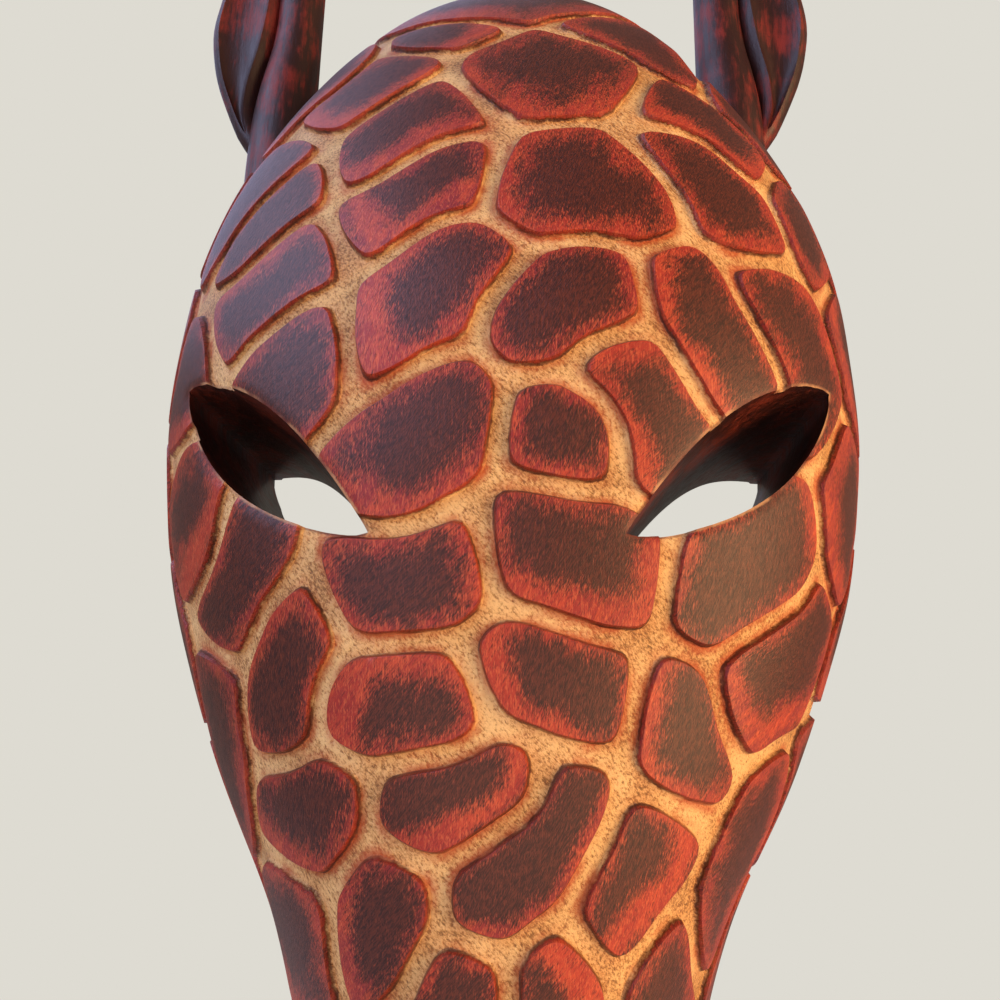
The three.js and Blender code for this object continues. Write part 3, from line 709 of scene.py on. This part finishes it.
def eye_slot(side):
    share = np.linspace(0, 1, EYE_STEPS + 1)
    upper, lower = slot_bulges(share)
    round_share = np.concatenate([share[:-1], share[:0:-1]])
    bulge = np.concatenate([-lower[:-1], upper[:0:-1]])
    x = side * (EYE_INNER[0] + EYE_RUN[0] * round_share - EYE_RUN[1] / EYE_LONG * bulge)
    z = EYE_INNER[1] + EYE_RUN[1] * round_share + EYE_RUN[0] / EYE_LONG * bulge
    bm = bmesh.new()
    front = bm.faces.new([bm.verts.new((px, SLOT_FROM, pz)) for px, pz in zip(x, z)])
    grown = bmesh.ops.extrude_face_region(bm, geom=[front], use_keep_orig=True)
    moved = [v for v in grown["geom"] if isinstance(v, bmesh.types.BMVert)]
    bmesh.ops.translate(bm, verts=moved, vec=(0, SLOT_LONG, 0))
    bmesh.ops.recalc_face_normals(bm, faces=bm.faces)
    return bm


def nostril(side):
    bm = bmesh.new()
    bmesh.ops.create_uvsphere(bm, u_segments=40, v_segments=24, radius=1)
    y = float(skin(np.array(side * NOSTRIL_TURN, float), np.array(NOSTRIL_UP, float))[1])
    shape = (Matrix.Translation((side * NOSTRIL_ACROSS, y, NOSTRIL_UP))
             @ Matrix.Rotation(side * NOSTRIL_LEAN, 4, "Y")
             @ Matrix.Diagonal((NOSTRIL_WIDE, NOSTRIL_DEEP, NOSTRIL_TALL, 1)))
    bmesh.ops.transform(bm, verts=bm.verts, matrix=shape)
    return bm


def mouth_line():
    def place(round_share, up_share):
        share = 2 * up_share - 1
        angle = MOUTH_REACH * share
        middle = MOUTH_UP + MOUTH_RISE * share**2
        turn = 2 * np.pi * round_share
        up = middle + MOUTH_TALL * np.sin(turn)
        high = -MOUTH_DEEP * np.maximum(np.cos(turn), 0) + MOUTH_PROUD * np.maximum(-np.cos(turn), 0)
        fade = np.sqrt(np.maximum(1 - share**2, 0))
        up = middle + (up - middle) * fade
        return skin(angle, up) + outward(angle, up) * (high * fade)[:, None]

    return wrapped_grid(20, 90, place)


def peg_hole():
    bm = bmesh.new()
    bmesh.ops.create_cone(bm, cap_ends=True, segments=48, radius1=HANG_RADIUS, radius2=HANG_RADIUS,
                          depth=HANG_DEEP + HANG_PAST_BACK)
    turned = (Matrix.Translation((0, (HANG_PAST_BACK - HANG_DEEP) / 2, HANG_UP))
              @ Matrix.Rotation(math.pi / 2, 4, "X"))
    bmesh.ops.transform(bm, verts=bm.verts, matrix=turned)
    return bm


COAT, SLOT, HORN, BACK = range(4)

face = carved_head()
for look in LOOKS.values():
    face.data.materials.append(look)
for side in (-1, 1):
    join_or_cut(face, as_object("ear", ear_blade(side), HORN), "UNION")
    join_or_cut(face, as_object("ear_cup", ear_cup(side), HORN), "DIFFERENCE")
    join_or_cut(face, as_object("horn", horn(side), HORN), "UNION")
join_or_cut(face, as_object("hollow", hollow(), BACK), "DIFFERENCE")
join_or_cut(face, as_object("peg_hole", peg_hole(), BACK), "DIFFERENCE")
join_or_cut(face, as_object("mouth", mouth_line(), SLOT), "DIFFERENCE")
for side in (-1, 1):
    join_or_cut(face, as_object("slot", eye_slot(side), SLOT), "DIFFERENCE")
    join_or_cut(face, as_object("nostril", nostril(side), SLOT), "DIFFERENCE")


def finish_face():
    """Gives each point what the paint needs to know, stains the flat back and sets down in metres.

    Every patch gets its own red, its own lean of the brush and a dark centre a little off its middle."""
    mesh = face.data
    count = len(mesh.vertices)
    points = np.empty(count * 3)
    mesh.vertices.foreach_get("co", points)
    points = points.reshape(-1, 3)
    inside, own = patch_field(points)
    deepest = np.zeros(len(PATCHES))
    np.maximum.at(deepest, own, inside)
    rng = np.random.default_rng(11)
    tints = rng.uniform(0, 1, len(PATCHES))
    leans = np.radians(rng.uniform(*STROKES_LEAN, len(PATCHES)))
    start, end = patch_spines()[:2]
    middle = (start + end) / 2
    offsets = rng.normal(0, 1, (len(PATCHES), 2)) * CENTRE_STRAYS + (0, CENTRE_HIGHER)
    rows = np.array([row[:4] for row in PATCHES], float)
    angle, up = (rows[:, 0] + rows[:, 2]) / 2, (rows[:, 1] + rows[:, 3]) / 2
    round_way = skin(angle + 2, up) - skin(angle - 2, up)
    round_way /= np.linalg.norm(round_way, axis=1, keepdims=True)
    rising_way = np.cross(outward(angle, up), round_way)
    away = points - middle[own]
    across = (away * round_way[own]).sum(axis=1)
    rise = (away * rising_way[own]).sum(axis=1)
    lean = leans[own]
    along_stroke = rise * np.cos(lean) + across * np.sin(lean)
    across_stroke = across * np.cos(lean) - rise * np.sin(lean)
    # each patch reads the bristle pattern at a place of its own
    brush = np.stack([along_stroke, across_stroke, own * 37.0], axis=1)
    shifted = points - offsets[own, :1] * round_way[own] - offsets[own, 1:] * rising_way[own]
    inside_shifted = patch_field(shifted)[0]
    heart = np.minimum(inside + 0.9, inside_shifted + 0.7) / np.maximum(deepest[own], 3)
    heart = np.clip(heart, -0.5, 1)
    gap = np.clip(eye_gap(points), -1, 9)
    for name, values in (("inside_patch", inside), ("patch_heart", heart), ("patch_tint", tints[own]),
                         ("slot_gap", gap)):
        kept = mesh.attributes.new(name, "FLOAT", "POINT")
        kept.data.foreach_set("value", values.astype(np.float32))
    kept = mesh.attributes.new("brush_way", "FLOAT_VECTOR", "POINT")
    kept.data.foreach_set("vector", brush.astype(np.float32).ravel())
    for polygon in mesh.polygons:
        if polygon.material_index == COAT and polygon.normal.y > 0.9 and polygon.center.y > -0.5:
            polygon.material_index = BACK
    points[:, 2] -= HANG_UP
    mesh.vertices.foreach_set("co", (points * MM).ravel())
    mesh.update()
    mesh.set_sharp_from_angle(angle=CREASE_ANGLE)


finish_face()
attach(face, "root")
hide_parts("giraffe_mask")


# Floor, light and background


def soft_box(name, at, size, power, colour):
    data = bpy.data.lights.new(name, "AREA")
    data.shape = "RECTANGLE"
    data.size, data.size_y = size
    data.energy = power
    data.color = linear(colour)[:3]
    lamp = bpy.data.objects.new(name, data)
    lamp.location = at
    lamp.rotation_euler = (Vector(LIT_POINT) - Vector(at)).to_track_quat("-Z", "Y").to_euler()
    bpy.context.scene.collection.objects.link(lamp)


def studio():
    # matt paper, which gives back an even pale light
    floor_look, tree = new_look("pale_matt_floor")
    paper = add(tree, SURFACE, {"Base Color": "#E6E1D8", "Roughness": 0.9})
    add(tree, OUTPUT, {"Surface": paper})
    bm = bmesh.new()
    bmesh.ops.create_circle(bm, cap_ends=True, segments=128, radius=FLOOR_RADIUS)
    bmesh.ops.translate(bm, verts=bm.verts, vec=(0, 0, FLOOR_AT))
    floor = as_object("floor", bm)
    floor.data.materials.append(floor_look)

    soft_box("warm_side", (1.0, -0.5, -0.15), (0.7, 1.0), 22, "#FFD09A")
    soft_box("cool_window", (-0.8, -0.6, 0.6), (1.1, 0.8), 14, "#C4D2FF")
    soft_box("sky_behind", (-0.65, 0.5, 0.85), (1.3, 1.0), 5.5, "#BACAFF")
    soft_box("front_bounce", (0.0, -1.1, -0.6), (1.2, 0.7), 14, "#FFE6CC")
    # a pale backdrop, and a weaker light from all round so that the dark paint stays dark
    world = bpy.data.worlds.new("studio_air")
    world.use_nodes = True
    tree = world.node_tree
    tree.nodes.clear()
    seen, around = (add(tree, "ShaderNodeBackground", {"Color": colour, "Strength": strength})
                    for colour, strength in (("#DEDBD2", 1.0), ("#EADFD0", 0.26)))
    to_camera = add(tree, "ShaderNodeLightPath", {}, "Is Camera Ray")
    air = add(tree, "ShaderNodeMixShader", {0: to_camera, 1: around, 2: seen})
    add(tree, "ShaderNodeOutputWorld", {"Surface": air})
    bpy.context.scene.world = world
    bpy.context.scene.view_settings.view_transform = "Standard"


studio()
